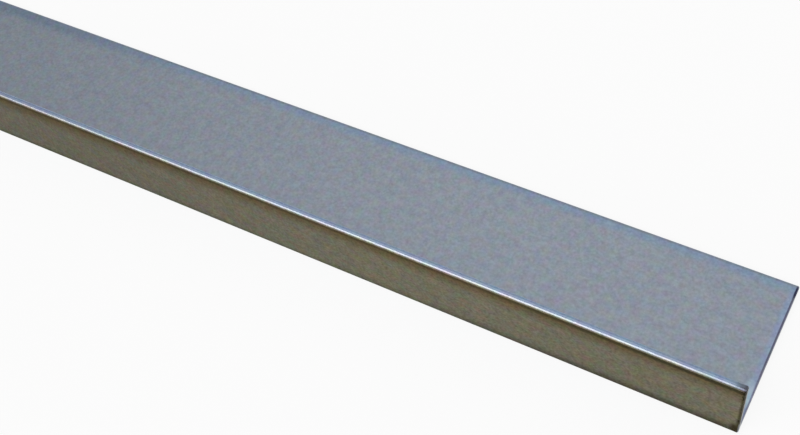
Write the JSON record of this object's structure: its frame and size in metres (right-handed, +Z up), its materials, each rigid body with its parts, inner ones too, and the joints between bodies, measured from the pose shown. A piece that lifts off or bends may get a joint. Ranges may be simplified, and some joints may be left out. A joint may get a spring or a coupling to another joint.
{
  "type": "unequal-leg angle profile",
  "caption": "Straight length of unequal-leg L angle, extruded aluminium with a satin anodised finish, lying on its broad leg with the narrow leg upright.",
  "frame": {"origin": "midway along the length and across the broad leg, on the surface that the angle lies on", "axes": "+X along the length, +Y across the broad leg from the standing narrow leg to the free edge, +Z up"},
  "size_m": [1, 0.05, 0.025],
  "materials": {
    "anodised_aluminium": "satin, natural-colour anodised"
  },
  "bodies": {
    "root": {"angle_profile": "anodised_aluminium"}
  },
  "joints": []
}
